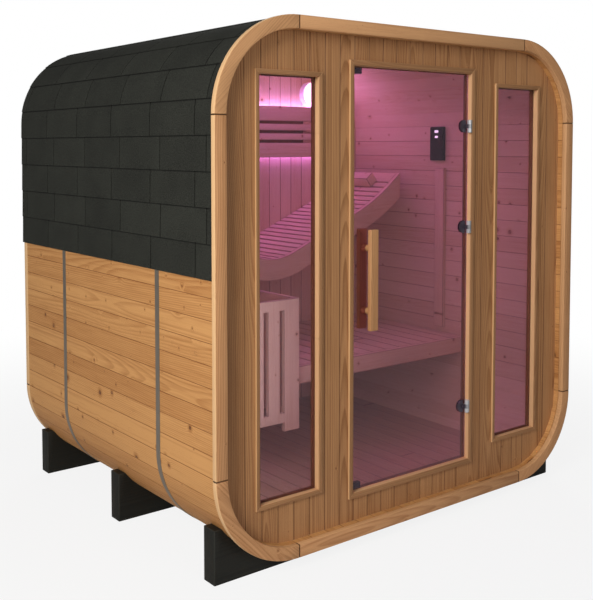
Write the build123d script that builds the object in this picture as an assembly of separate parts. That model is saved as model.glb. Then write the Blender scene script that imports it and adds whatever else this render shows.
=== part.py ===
import os
from build123d import *

# A barrel sauna with a rounded square section. Millimetres, +Z up, the glazed front faces -Y,
# and the origin lies on the ground under the middle of the barrel.

# Barrel: end rings and the stave shell between them
ring_width = 2100.0
ring_height = 2100.0
barrel_depth = 1800.0
ring_corner_radius = 384.0
ring_lift = 52.0
ring_face_width = 52.0
front_ring_depth = 26.0
rear_ring_depth = 40.0
stave_setback = 10.0
stave_thickness = 42.0

# Running room shared by curved seats, and the overrun of every cut
fit_clearance = 0.3
cut_overrun = 20.0

# Cradles under the barrel
cradle_thickness = 75.0
cradle_side_inset = 50.0
cradle_height = 213.0
cradle_end_inset = 130.0

# Steel bands and shingles on the shell
band_width = 31.0
band_thickness = 1.2
front_band_inset = 438.0
rear_band_inset = 487.0
shingle_thickness = 8.0
shingle_edge_rise = 66.0
shingle_end_gap = 6.0

# Front wall, recessed behind the ring
wall_setback = 24.0
wall_thickness = 42.0
door_width_share = 0.3517
mullion_width_share = 0.0927
window_width_share = 0.1438
door_sill_margin = 119.0
door_head_margin = 120.0
window_sill_margin = 177.0
window_head_margin = 174.0

# Frame section round the door and the windows
window_trim_width = 18.0
door_trim_width = 23.0
trim_depth = 10.0
trim_bevel = 3.0
lining_thickness = 14.0
stop_width = 4.0
window_glass_recess = 16.0
door_glass_recess = 9.0
glass_thickness = 8.0

# Door leaf
door_gap = 6.0
door_stop_gap = 5.0
hinge_height_shares = (0.1398, 0.6079, 0.8662)
hinge_height = 56.0
hinge_inset = 13.0
hinge_stand = 8.0
knuckle_radius = 9.0
knuckle_gap = 0.5
pin_radius = 4.0
pin_clearance = 0.05
leaf_thickness = 3.0
clamp_thickness = 4.0
clamp_neck = 7.0
handle_height_share = 0.5007
handle_length = 418.0
handle_width = 43.0
handle_depth = 21.0
handle_edge_inset = 64.0
handle_standoff = 22.0
handle_dowel_radius = 15.0
handle_dowel_spacing = 262.0
handle_edge_radius = 4.0
catch_length = 40.0
catch_height = 25.0
catch_side_inset = 20.0

# Room behind the front wall
back_wall_recess = 201.0
back_wall_thickness = 45.0
floor_rise = 43.0
floor_thickness = 28.0

# Lower bench along the right wall
bench_height = 463.0
bench_length = 1228.0
bench_depth = 904.0
fascia_height = 83.0
fascia_thickness = 28.0
bench_slat_pitch = 95.0
bench_slat_gap = 8.0
bench_slat_thickness = 22.0
bearer_width = 38.0
bearer_height = 50.0

# Wave lounger over the bench
lounger_depth = 504.0
lounger_foot_gap = 48.0
lounger_head_gap = 108.0
lounger_seat_share = 0.4646
lounger_height_share = 0.2304
lounger_run_shares = (0.0, 0.285, 0.524, 0.897, 1.0)
lounger_rise_shares = (0.05, 0.253, 0.0, 0.66, 1.0)
knee_radius = 500.0
seat_radius = 340.0
back_radius = 1050.0
stringer_depth = 110.0
lounger_slat_pitch = 44.0
lounger_slat_gap = 9.0
lounger_slat_thickness = 18.0
slat_seat_gap = 0.9
headrest_share = 0.947
headrest_size = 61.0
headrest_length = 270.0
head_board_slats = 2

# Slatted light screen, light strips and lamp on the back wall
screen_length = 1500.0
screen_drop = 217.0
screen_wide_board = 83.0
screen_narrow_board = 38.0
screen_board_gap = 16.0
screen_board_thickness = 18.0
screen_standoff = 80.0
batten_width = 40.0
batten_margin = 40.0
batten_place_shares = (-0.4, 0.0, 0.4)
strip_size = 14.0
strip_margin = 16.0
lamp_radius = 74.0
lamp_depth = 45.0
lamp_side_inset = 372.0
lamp_edge_radius = 24.0
lamp_drop = 138.0

# Heater guard in the left corner
guard_lead = 90.0
guard_thickness = 21.0
guard_low_rise = 244.0
guard_top_rise = 811.0
guard_post_width = 87.0
guard_post_drop = 42.0
guard_top_rail = 49.0
guard_bottom_rail = 45.0
guard_slat_width = 65.0
guard_slot_width = 25.0
guard_side_length = 300.0

# Control panel and cable cover on the right wall
panel_width = 97.0
panel_height = 188.0
panel_thickness = 22.0
panel_inset = 202.0
panel_corner_radius = 6.0
panel_drop = 336.0
cover_width = 68.0
cover_thickness = 20.0
cover_inset = 180.0
cover_top_gap = 42.0
cover_low_gap = 31.0

# Places that follow from the sizes above
ring_front = -barrel_depth / 2
ring_back = barrel_depth / 2
shell_front = ring_front + front_ring_depth
shell_back = ring_back - rear_ring_depth
shell_span = (shell_front, shell_back)
centre_z = ring_lift + ring_height / 2
tangent_x = ring_width / 2 - ring_corner_radius
tangent_z = ring_height / 2 - ring_corner_radius
room_inset = stave_setback + stave_thickness
room_side = ring_width / 2 - room_inset
room_width = 2 * room_side
room_low = centre_z - ring_height / 2 + room_inset
room_high = centre_z + ring_height / 2 - room_inset
wall_face = shell_front + wall_setback
wall_back = wall_face + wall_thickness
wall_span = (wall_face, wall_back)
trim_front = wall_face - trim_depth
window_glass = wall_face + window_glass_recess
door_glass = wall_face + door_glass_recess
door_glass_back = door_glass + glass_thickness
back_wall_back = ring_back - back_wall_recess
back_wall_front = back_wall_back - back_wall_thickness
floor_top = room_low + floor_rise
door_side = door_width_share * room_width / 2
door_sill = room_low + door_sill_margin
door_head = room_high - door_head_margin
window_inner = door_side + mullion_width_share * room_width
window_outer = window_inner + window_width_share * room_width
window_sill = room_low + window_sill_margin
window_head = room_high - window_head_margin
bench_top = floor_top + bench_height
bench_left = room_side - bench_length
bench_front = back_wall_front - bench_depth
headroom = room_high - floor_top
lounger_seat = floor_top + lounger_seat_share * headroom
lounger_height = lounger_height_share * headroom
screen_top = room_high - screen_drop
panel_low = room_high - panel_drop - panel_height


def block(xs, ys, zs):
    size = (xs[1] - xs[0], ys[1] - ys[0], zs[1] - zs[0])
    return Pos(xs[0], ys[0], zs[0]) * Box(*size, align=(Align.MIN, Align.MIN, Align.MIN))


def deep_prism(points, ys):
    outline = Polyline(*[(x, ys[0], z) for x, z in points], close=True)
    return extrude(make_face(outline), amount=ys[1] - ys[0], dir=(0, 1, 0))


def upright_prism(points, zs):
    outline = Polyline(*[(x, y, zs[0]) for x, y in points], close=True)
    return extrude(make_face(outline), amount=zs[1] - zs[0], dir=(0, 0, 1))


def crosswise_prism(points, xs):
    outline = Polyline(*[(xs[0], y, z) for y, z in points], close=True)
    return extrude(make_face(outline), amount=xs[1] - xs[0], dir=(1, 0, 0))


# The barrel's outline, moved in from the rings' outer face
def barrel_prism(inset, ys):
    plane = Plane(origin=(0, ys[0], centre_z), x_dir=(1, 0, 0), z_dir=(0, 1, 0))
    outline = RectangleRounded(ring_width - 2 * inset, ring_height - 2 * inset, ring_corner_radius - inset)
    return extrude(plane * outline, amount=ys[1] - ys[0])


def barrel_layer(outer_inset, inner_inset, ys):
    return barrel_prism(outer_inset, ys) - barrel_prism(inner_inset, ys)


def layer_straights(outer_inset, inner_inset, ys):
    side_out = ring_width / 2 - outer_inset
    side_in = ring_width / 2 - inner_inset
    rise_out = ring_height / 2 - outer_inset
    rise_in = ring_height / 2 - inner_inset
    side_z = (centre_z - tangent_z, centre_z + tangent_z)
    flat_x = (-tangent_x, tangent_x)
    return {
        "left": block((-side_out, -side_in), ys, side_z),
        "right": block((side_in, side_out), ys, side_z),
        "bottom": block(flat_x, ys, (centre_z - rise_out, centre_z - rise_in)),
        "top": block(flat_x, ys, (centre_z + rise_in, centre_z + rise_out)),
    }


def layer_corners(outer_inset, inner_inset, ys):
    layer = barrel_layer(outer_inset, inner_inset, ys)
    pieces = {}
    for side, across in (("left", -1), ("right", 1)):
        for level, up in (("lower", -1), ("upper", 1)):
            xs = sorted((across * tangent_x, across * ring_width))
            zs = sorted((centre_z + up * tangent_z, centre_z + up * ring_height))
            pieces[f"{level}_{side}"] = layer & block(xs, ys, zs)
    return pieces


def within_room(shape, ys):
    return shape & barrel_prism(room_inset + fit_clearance, ys)


nodes = {}


def add(name, *shapes):
    solids = [solid for shape in shapes for solid in shape.solids()]
    nodes[name] = solids[0] if len(solids) == 1 else Compound(solids)


# Cradles, notched to the barrel
def cradle(y):
    ys = (y - cradle_thickness / 2, y + cradle_thickness / 2)
    half_length = ring_width / 2 - cradle_side_inset
    beam = block((-half_length, half_length), ys, (0, cradle_height))
    return beam - barrel_prism(stave_setback - fit_clearance, ys)


cradle_place = barrel_depth / 2 - cradle_end_inset
add("front_cradle", cradle(-cradle_place))
add("middle_cradle", cradle(0))
add("rear_cradle", cradle(cradle_place))

# Stave shell and its end rings
shell_flats = layer_straights(stave_setback, room_inset, shell_span)
add("left_wall", shell_flats["left"])
add("right_wall", shell_flats["right"])
add("roof_deck", shell_flats["top"])
add("underside", shell_flats["bottom"])
for place, piece in layer_corners(stave_setback, room_inset, shell_span).items():
    add(f"{place}_corner", piece)

front_ring_span = (ring_front, shell_front)
rear_ring_span = (shell_back, ring_back)
add("front_ring_straights", *layer_straights(0, ring_face_width, front_ring_span).values())
add("front_ring_corners", *layer_corners(0, ring_face_width, front_ring_span).values())
add("rear_ring_straights", *layer_straights(stave_setback, ring_face_width, rear_ring_span).values())
add("rear_ring_corners", *layer_corners(stave_setback, ring_face_width, rear_ring_span).values())


# Steel bands round the shell, and the shingles that lie over them
def band(y):
    ys = (y - band_width / 2, y + band_width / 2)
    seat = stave_setback - fit_clearance
    return barrel_layer(seat - band_thickness, seat, ys)


def band_groove(y):
    half = band_width / 2 + fit_clearance
    return barrel_layer(stave_setback - band_thickness - 2 * fit_clearance, stave_setback, (y - half, y + half))


band_places = (ring_front + front_band_inset, ring_back - rear_band_inset)
add("steel_bands", *[band(y) for y in band_places])

shingle_span = (shell_front + shingle_end_gap, ring_back)
shingle_seat = stave_setback - fit_clearance
shingles = barrel_layer(shingle_seat - shingle_thickness, shingle_seat, shingle_span)
shingles &= block((-ring_width, ring_width), shingle_span, (centre_z + shingle_edge_rise, ring_lift + ring_height))
for y in band_places:
    shingles -= band_groove(y)
add("roof_shingles", shingles)

# Front wall, cut through for the door and the two windows
door_rough = door_side + lining_thickness
window_rough_inner = window_inner - lining_thickness
window_rough_outer = window_outer + lining_thickness
wall_sheet = barrel_prism(room_inset + fit_clearance, wall_span)


def wall_piece(xs, zs):
    return wall_sheet & block(xs, wall_span, zs)


def both_sides(xs, zs):
    return [wall_piece(xs, zs), wall_piece((-xs[1], -xs[0]), zs)]


full_height = (room_low, room_high)
window_strip = (window_rough_inner, window_rough_outer)
door_strip = (-door_rough, door_rough)
add("front_wall_side_panels", *both_sides((window_rough_outer, room_side), full_height))
add("front_wall_posts", *both_sides((door_rough, window_rough_inner), full_height))
add("front_wall_heads", wall_piece(door_strip, (door_head + lining_thickness, room_high)),
    *both_sides(window_strip, (window_head + lining_thickness, room_high)))
add("front_wall_aprons", wall_piece(door_strip, (room_low, door_sill - lining_thickness)),
    *both_sides(window_strip, (room_low, window_sill - lining_thickness)))


# Frames: one section of trim, lining and stop, mitred at the corners
def frame_section(trim_width, stop_front):
    return [
        (trim_bevel, trim_front), (trim_width, trim_front), (trim_width, wall_face),
        (lining_thickness, wall_face), (lining_thickness, wall_back), (-stop_width, wall_back),
        (-stop_width, stop_front), (0, stop_front), (0, trim_front + trim_bevel),
    ]


def frame_members(xs, zs, trim_width, stop_front):
    section = frame_section(trim_width, stop_front)
    reach = trim_width + stop_width
    through = (trim_front - cut_overrun, wall_back + cut_overrun)
    run_z = (zs[0] - reach, zs[1] + reach)
    run_x = (xs[0] - reach, xs[1] + reach)
    stiles = []
    for edge, out in ((xs[0], -1), (xs[1], 1)):
        stile = upright_prism([(edge + out * u, y) for u, y in section], run_z)
        mitre = [(edge - out * reach, zs[0] + reach), (edge + out * reach, zs[0] - reach),
                 (edge + out * reach, zs[1] + reach), (edge - out * reach, zs[1] - reach)]
        stiles.append(stile & deep_prism(mitre, through))
    rails = []
    for edge, out in ((zs[0], -1), (zs[1], 1)):
        rail = crosswise_prism([(y, edge + out * u) for u, y in section], run_x)
        mitre = [(xs[0] + reach, edge - out * reach), (xs[0] - reach, edge + out * reach),
                 (xs[1] + reach, edge + out * reach), (xs[1] - reach, edge - out * reach)]
        rails.append(rail & deep_prism(mitre, through))
    return stiles, rails


window_z = (window_sill, window_head)
window_spans = ((-window_outer, -window_inner), (window_inner, window_outer))
window_pane_y = (window_glass, window_glass + glass_thickness)
window_frames = [frame_members(xs, window_z, window_trim_width, window_pane_y[1]) for xs in window_spans]
add("window_stiles", *[piece for stiles, rails in window_frames for piece in stiles])
add("window_rails", *[piece for stiles, rails in window_frames for piece in rails])
add("window_panes", *[block(xs, window_pane_y, window_z) for xs in window_spans])

door_stop = door_glass_back + door_stop_gap
door_jambs, door_rails = frame_members((-door_side, door_side), (door_sill, door_head), door_trim_width, door_stop)
add("door_jambs", *door_jambs)
add("door_frame_rails", *door_rails)

# Catches on the head and sill, behind the free edge of the glass
catch_left = -door_side + stop_width + catch_side_inset
catch_x = (catch_left, catch_left + catch_length)
catch_y = (door_stop, wall_back)
catch_low = door_sill + stop_width
catch_high = door_head - stop_width
add("door_catches", block(catch_x, catch_y, (catch_low, catch_low + catch_height)),
    block(catch_x, catch_y, (catch_high - catch_height, catch_high)))

# Door leaf: one pane on three clamp hinges, with a wooden pull on each face
leaf_side = door_side - door_gap
leaf_low = door_sill + door_gap
leaf_high = door_head - door_gap
add("door_glass", block((-leaf_side, leaf_side), (door_glass, door_glass_back), (leaf_low, leaf_high)))

axis_x = door_side - hinge_inset
axis_y = wall_face - hinge_stand
knuckle_length = (hinge_height - 2 * knuckle_gap) / 3
knuckle_step = knuckle_length + knuckle_gap
clamp_right = axis_x - knuckle_radius
web_half = knuckle_radius / 2


def on_axis(radius, length, z):
    return Pos(axis_x, axis_y, z) * Cylinder(radius, length)


def hinge_leaf(z):
    leaf_x = (door_side - leaf_thickness, door_side)
    leaf = block(leaf_x, (axis_y - web_half, door_glass), (z - hinge_height / 2, z + hinge_height / 2))
    for up in (-1, 1):
        middle = z + up * knuckle_step
        web_z = (middle - knuckle_length / 2, middle + knuckle_length / 2)
        leaf += on_axis(knuckle_radius, knuckle_length, middle)
        leaf += block((axis_x, leaf_x[0]), (axis_y - web_half, axis_y + web_half), web_z)
    return leaf + on_axis(pin_radius, hinge_height, z)


def clamp_plate(z, ys):
    centre_x = clamp_right - clamp_neck
    half = hinge_height / 2
    edge = Polyline((centre_x, ys[0], z + half), (clamp_right, ys[0], z + half),
                    (clamp_right, ys[0], z - half), (centre_x, ys[0], z - half))
    bow = ThreePointArc((centre_x, ys[0], z - half), (centre_x - half, ys[0], z), (centre_x, ys[0], z + half))
    return extrude(make_face([edge, bow]), amount=ys[1] - ys[0], dir=(0, 1, 0))


def hinge_clamp(z):
    front = clamp_plate(z, (door_glass - clamp_thickness, door_glass))
    web_z = (z - knuckle_length / 2, z + knuckle_length / 2)
    front += on_axis(knuckle_radius, knuckle_length, z)
    front += block((clamp_right - clamp_neck, axis_x), (axis_y, door_glass), web_z)
    front -= on_axis(pin_radius + pin_clearance, hinge_height, z)
    return [front, clamp_plate(z, (door_glass_back, door_glass_back + clamp_thickness))]


hinge_places = [door_sill + share * (door_head - door_sill) for share in hinge_height_shares]
add("hinge_leaves", *[hinge_leaf(z) for z in hinge_places])
add("hinge_clamps", *[piece for z in hinge_places for piece in hinge_clamp(z)])

handle_left = -leaf_side + handle_edge_inset
handle_x = (handle_left, handle_left + handle_width)
handle_z = door_sill + handle_height_share * (door_head - door_sill)
handle_run = (handle_z - handle_length / 2, handle_z + handle_length / 2)


def pull(face, out):
    seat = face + out * handle_standoff
    bar = block(handle_x, sorted((seat, seat + out * handle_depth)), handle_run)
    bar = fillet(bar.edges().filter_by(Axis.Z), handle_edge_radius)
    for up in (-1, 1):
        centre = (handle_left + handle_width / 2, face + out * handle_standoff / 2,
                  handle_z + up * handle_dowel_spacing / 2)
        bar += Pos(*centre) * Rot(90, 0, 0) * Cylinder(handle_dowel_radius, handle_standoff)
    return bar


add("outer_handle", pull(door_glass, -1))
add("inner_handle", pull(door_glass_back, 1))

# Back wall and floor
back_span = (back_wall_front, back_wall_back)
room_span = (wall_back, back_wall_front)
add("back_wall", barrel_prism(room_inset + fit_clearance, back_span))
floor_slab = block((-room_side, room_side), room_span, (floor_top - floor_thickness, floor_top))
add("floor", within_room(floor_slab, room_span))

# Lower bench: a fascia rebated for the slats, a ledger on the back wall, and slats across
bench_x = (bench_left, room_side)
fascia_back = bench_front + fascia_thickness
slat_seat = bench_top - bench_slat_thickness
bearer_z = (slat_seat - bearer_height, slat_seat)
bench_fascia = block(bench_x, (bench_front, fascia_back), (bench_top - fascia_height, bench_top))
bench_fascia += block(bench_x, (fascia_back, fascia_back + bearer_width), bearer_z)
add("bench_rails", bench_fascia, block(bench_x, (back_wall_front - bearer_width, back_wall_front), bearer_z))

bench_slat_count = round(bench_length / bench_slat_pitch)
bench_pitch = bench_length / bench_slat_count
bench_slats = []
for index in range(bench_slat_count):
    left = bench_left + index * bench_pitch + bench_slat_gap / 2
    slat_x = (left, left + bench_pitch - bench_slat_gap)
    bench_slats.append(block(slat_x, (fascia_back, back_wall_front), (slat_seat, bench_top)))
add("bench_slats", *bench_slats)

# Wave lounger: a curved fascia rebated for the slats, a bearer on the back wall, and slats across
lounger_foot = -room_side + lounger_foot_gap
lounger_head = room_side - lounger_head_gap
lounger_run = lounger_head - lounger_foot
lounger_points = [
    Vector(lounger_foot + across * lounger_run, 0, lounger_seat + up * lounger_height)
    for across, up in zip(lounger_run_shares, lounger_rise_shares)
]
lounger_front = back_wall_front - lounger_depth


# The lounger's line, moved square to itself: humps tighten below it and hollows widen
def wave_line(drop, y):
    runs = [(end - start).normalized() for start, end in zip(lounger_points, lounger_points[1:])]
    downs = [Vector(run.Z, 0, -run.X) for run in runs]
    corners = []
    for point, before, after in zip(lounger_points, downs[:1] + downs, downs + downs[-1:]):
        shift = (before + after) * (drop / (1 + before.dot(after)))
        corners.append(Vector(point.X + shift.X, y, point.Z + shift.Z))
    return FilletPolyline(*corners, radius=[knee_radius - drop, seat_radius + drop, back_radius + drop])


lounger_line = wave_line(0, 0)


def below_line(share, drop):
    place = lounger_line.position_at(share)
    along = lounger_line.tangent_at(share)
    return (place.X + drop * along.Z, place.Z - drop * along.X)


def wave_board(top_drop, bottom_drop, ys):
    upper = wave_line(top_drop, ys[0])
    lower = wave_line(bottom_drop, ys[0])
    ends = [Line(upper.position_at(end), lower.position_at(end)) for end in (0, 1)]
    board = extrude(make_face([upper, lower, *ends]), amount=ys[1] - ys[0], dir=(0, 1, 0))
    return board & block((-room_side, lounger_head), ys, (floor_top, room_high))


wave_seat = lounger_slat_thickness + slat_seat_gap
wave_fascia_back = lounger_front + fascia_thickness
wave_fascia = wave_board(0, stringer_depth, (lounger_front, wave_fascia_back))
wave_fascia += wave_board(wave_seat, wave_seat + bearer_height, (wave_fascia_back, wave_fascia_back + bearer_width))
wave_ledger = wave_board(wave_seat, wave_seat + bearer_height, (back_wall_front - bearer_width, back_wall_front))
add("lounger_stringers", wave_fascia, wave_ledger)

lounger_slat_count = round(lounger_line.length / lounger_slat_pitch)
lounger_pitch = lounger_line.length / lounger_slat_count
lounger_slats = []
for index in range(lounger_slat_count - head_board_slats + 1):
    pitches = head_board_slats if index == lounger_slat_count - head_board_slats else 1
    slat_half = (pitches * lounger_pitch - lounger_slat_gap) / 2
    share = (index + pitches / 2) / lounger_slat_count
    along = lounger_line.tangent_at(share)
    middle_x, middle_z = below_line(share, 0)
    low_x, low_z = below_line(share, lounger_slat_thickness)
    reach_x = slat_half * along.X
    reach_z = slat_half * along.Z
    outline = [(middle_x - reach_x, middle_z - reach_z), (middle_x + reach_x, middle_z + reach_z),
               (low_x + reach_x, low_z + reach_z), (low_x - reach_x, low_z - reach_z)]
    lounger_slats.append(deep_prism(outline, (wave_fascia_back, back_wall_front)))
add("lounger_slats", *lounger_slats)

headrest_half = headrest_size / 2 / lounger_line.length
headrest_ends = (headrest_share - headrest_half, headrest_share + headrest_half)
headrest_low = [below_line(share, -fit_clearance) for share in headrest_ends]
headrest_high = [below_line(share, -headrest_size) for share in reversed(headrest_ends)]
headrest_middle = (wave_fascia_back + back_wall_front) / 2
headrest_span = (headrest_middle - headrest_length / 2, headrest_middle + headrest_length / 2)
add("headrest", deep_prism(headrest_low + headrest_high, headrest_span))

# Light screen, its battens, the strips behind it and the round lamp
screen_boards = []
screen_z = screen_top
screen_back = back_wall_front - screen_standoff
screen_face = screen_back - screen_board_thickness
screen_x = (-screen_length / 2, screen_length / 2)
for height in (screen_wide_board, screen_narrow_board, screen_narrow_board, screen_wide_board):
    screen_boards.append(block(screen_x, (screen_face, screen_back), (screen_z - height, screen_z)))
    screen_z -= height + screen_board_gap
add("light_screen_boards", *screen_boards)

screen_low = screen_z + screen_board_gap
batten_z = (screen_low + batten_margin, screen_top - batten_margin)
battens = []
for share in batten_place_shares:
    left = share * screen_length - batten_width / 2
    battens.append(block((left, left + batten_width), (screen_back, back_wall_front), batten_z))
add("light_screen_battens", *battens)

strip_y = (back_wall_front - strip_size, back_wall_front)
upper_strip = screen_top - strip_margin
lower_strip = screen_low + strip_margin
add("light_strips", block(screen_x, strip_y, (upper_strip - strip_size, upper_strip)),
    block(screen_x, strip_y, (lower_strip, lower_strip + strip_size)))
lamp_centre = (room_side - lamp_side_inset, back_wall_front - lamp_depth / 2, room_high - lamp_drop)
lamp = Pos(*lamp_centre) * Rot(90, 0, 0) * Cylinder(lamp_radius, lamp_depth)
add("wall_lamp", fillet(lamp.edges().group_by(Axis.Y)[0], lamp_edge_radius))

# Heater guard: a slotted front panel on the left wall, and a side panel on the bench's end
guard_front = bench_front - guard_lead
guard_back = guard_front + guard_thickness
guard_side_x = (bench_left - guard_thickness, bench_left)
guard_z = (floor_top + guard_low_rise, floor_top + guard_top_rise)
slot_z = (guard_z[0] + guard_bottom_rail, guard_z[1] - guard_top_rail)
guard_pitch = guard_slat_width + guard_slot_width
post_left = bench_left - guard_post_width

guard_panel = block((-room_side, bench_left), (guard_front, guard_back), guard_z)
guard_panel += block((post_left, bench_left), (guard_front, guard_back), (guard_z[0] - guard_post_drop, guard_z[0]))
for index in range(int((post_left + room_side) / guard_pitch)):
    right = post_left - index * guard_pitch
    guard_panel -= block((right - guard_slot_width, right), (guard_front, guard_back), slot_z)
add("heater_guard_front", within_room(guard_panel, (guard_front, guard_back)))

guard_side_y = (guard_back, guard_back + guard_side_length)
guard_side = block(guard_side_x, guard_side_y, guard_z)
for index in range(int((guard_side_length - guard_slat_width) / guard_pitch)):
    front = guard_back + guard_slat_width + index * guard_pitch
    guard_side -= block(guard_side_x, (front, front + guard_slot_width), slot_z)
add("heater_guard_side", guard_side)

# Control panel on the right wall, and the cover for its cable down to the bench
panel_middle = bench_front + panel_inset
panel_span = (panel_middle - panel_width / 2, panel_middle + panel_width / 2)
panel = block((room_side - panel_thickness, room_side), panel_span, (panel_low, panel_low + panel_height))
add("control_panel", fillet(panel.edges().filter_by(Axis.X), panel_corner_radius))
cover_middle = bench_front + cover_inset
cover_span = (cover_middle - cover_width / 2, cover_middle + cover_width / 2)
add("cable_cover", block((room_side - cover_thickness, room_side), cover_span,
                         (bench_top + cover_low_gap, panel_low - cover_top_gap)))

os.makedirs("parts", exist_ok=True)
for name, shape in nodes.items():
    export_step(shape, f"parts/{name}.step")
print(len(nodes), "nodes written")
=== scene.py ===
import math
import random

import bmesh
import bpy
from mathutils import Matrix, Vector


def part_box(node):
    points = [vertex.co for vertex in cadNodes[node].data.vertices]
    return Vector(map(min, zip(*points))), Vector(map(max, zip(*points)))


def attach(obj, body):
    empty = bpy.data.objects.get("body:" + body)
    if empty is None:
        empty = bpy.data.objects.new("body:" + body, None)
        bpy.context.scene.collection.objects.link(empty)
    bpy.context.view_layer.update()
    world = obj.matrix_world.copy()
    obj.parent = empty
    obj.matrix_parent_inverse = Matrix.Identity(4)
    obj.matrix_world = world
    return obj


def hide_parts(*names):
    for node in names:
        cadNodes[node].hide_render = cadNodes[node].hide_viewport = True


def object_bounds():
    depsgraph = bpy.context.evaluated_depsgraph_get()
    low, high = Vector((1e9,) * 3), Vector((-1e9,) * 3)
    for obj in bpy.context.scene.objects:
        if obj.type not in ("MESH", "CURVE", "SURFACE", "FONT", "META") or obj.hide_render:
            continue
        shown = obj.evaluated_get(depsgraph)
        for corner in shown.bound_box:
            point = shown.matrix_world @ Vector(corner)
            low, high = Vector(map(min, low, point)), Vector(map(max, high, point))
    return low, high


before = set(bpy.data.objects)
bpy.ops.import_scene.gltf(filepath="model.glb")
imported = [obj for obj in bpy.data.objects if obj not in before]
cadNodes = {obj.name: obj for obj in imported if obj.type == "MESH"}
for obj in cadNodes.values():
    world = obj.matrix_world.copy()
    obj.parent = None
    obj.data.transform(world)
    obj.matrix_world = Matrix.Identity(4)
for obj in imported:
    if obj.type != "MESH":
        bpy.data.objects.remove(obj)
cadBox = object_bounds()
scene = bpy.context.scene
print("frame loaded:", len(cadNodes), "nodes")


# small helpers

fullWhite, fullBlack = (1.0, 1.0, 1.0, 1.0), (0.0, 0.0, 0.0, 1.0)
lowDetail, midDetail, highDetail = 1.0, 2.0, 3.0
numberKind, wholeKind, vectorKind = "NodeSocketFloat", "NodeSocketInt", "NodeSocketVector"
colourKind, shapeKind = "NodeSocketColor", "NodeSocketGeometry"
objectKind, finishKind = "NodeSocketObject", "NodeSocketMaterial"


def tone(red, green, blue):  # screen colour to linear light
    def linear(value):
        value /= 255
        return value / 12.92 if value <= 0.04045 else ((value + 0.055) / 1.055) ** 2.4
    return (linear(red), linear(green), linear(blue), 1.0)


def feed(tree, socket, value):  # a link or a plain value
    if isinstance(value, bpy.types.NodeSocket):
        tree.links.new(value, socket)
    else:
        socket.default_value = value


def put(tree, kind, sockets=None, family="ShaderNode", **settings):
    made = tree.nodes.new(family + kind)
    for name, value in settings.items():
        setattr(made, name, value)
    for key, value in (sockets or {}).items():
        feed(tree, made.inputs[key], value)
    return made


def calc(tree, operation, *values):
    return put(tree, "Math", dict(enumerate(values)), operation=operation).outputs[0]


def vecCalc(tree, operation, *values):
    return put(tree, "VectorMath", dict(enumerate(values)), operation=operation).outputs[0]


def lengthOf(tree, vector):
    return put(tree, "VectorMath", {0: vector}, operation="LENGTH").outputs["Value"]


def times(tree, first, second):
    return calc(tree, "MULTIPLY", first, second)


def timesPlus(tree, value, factor, base):
    return calc(tree, "MULTIPLY_ADD", value, factor, base)


def minus(tree, first, second):
    return calc(tree, "SUBTRACT", first, second)


def square(tree, value):
    return calc(tree, "POWER", value, 2.0)


def between(tree, value, least, most):
    return calc(tree, "MINIMUM", calc(tree, "MAXIMUM", value, least), most)


def sway(tree, value, amount, base):  # the base, moved up or down by a value that runs from 0 to 1
    return timesPlus(tree, minus(tree, value, 0.5), amount, base)


def join3(tree, x, y, z):
    return put(tree, "CombineXYZ", {0: x, 1: y, 2: z}).outputs[0]


def split3(tree, vector):
    return put(tree, "SeparateXYZ", {0: vector}).outputs


def soft(tree, value, start, end):  # smooth step from 0 at start to 1 at end
    sockets = {"Value": value, "From Min": start, "From Max": end}
    return put(tree, "MapRange", sockets, interpolation_type="SMOOTHSTEP").outputs[0]


def mixColour(tree, factor, first, second):
    return put(tree, "Mix", {0: factor, 6: first, 7: second}, data_type="RGBA").outputs[2]


def mixShaders(tree, factor, first, second):
    return put(tree, "MixShader", {0: factor, 1: first.outputs[0], 2: second.outputs[0]}).outputs[0]


def noise(tree, place, stretch, detail):
    scaled = vecCalc(tree, "MULTIPLY", place, stretch)
    return put(tree, "TexNoise", {"Vector": scaled, "Scale": 1.0, "Detail": detail}).outputs[0]


def attribute(tree, name, output="Fac"):
    return put(tree, "Attribute", attribute_name=name).outputs[output]


def objectPlace(tree):
    return put(tree, "TexCoord").outputs["Object"]


def newGroup(name, kind, inputs, outputs):
    group = bpy.data.node_groups.new(name, kind)
    for direction, sockets in (("INPUT", inputs), ("OUTPUT", outputs)):
        for label, socketKind in sockets.items():
            group.interface.new_socket(label, in_out=direction, socket_type=socketKind)
    return group, group.nodes.new("NodeGroupInput").outputs, group.nodes.new("NodeGroupOutput").inputs


# wood grain: year rings of a log, cut by each board at its own place

grainRings = {"lotReach": (7.0, 5.0, 9.0), "nearest": 0.012, "range": 0.09, "leastAway": 0.045,
              "drift": (0.6, 0.6, 0.9), "driftReach": 0.09, "leanReach": 0.07,
              "wobble": (26.0, 26.0, 0.8), "wobbleReach": 0.006,
              "lateStart": (0.25, 0.88), "lateEnd": (1.0, 0.9)}
grainKnots = {"perMetre": 6.0, "least": 0.2, "growth": 1.3, "push": 0.008, "bulge": (0.045, 0.006),
              "rim": (0.024, 0.010), "rimShare": 0.7, "core": (0.0095, 0.006), "coreShare": 0.85}
grainLayers = {  # stretch across, through and along the board, detail, share in the tone
    "fibre": ((420.0, 420.0, 9.0), midDetail, 0.55),
    "streak": ((95.0, 95.0, 3.5), highDetail, 0.9),
    "cloud": ((9.0, 9.0, 1.4), midDetail, 0.6)}
grainRelief = {"baseTone": 0.12, "late": -0.5, "fibre": 0.6, "knot": -0.4,
               "rough": 0.58, "roughFibre": 0.25, "roughKnot": -0.12}


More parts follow.
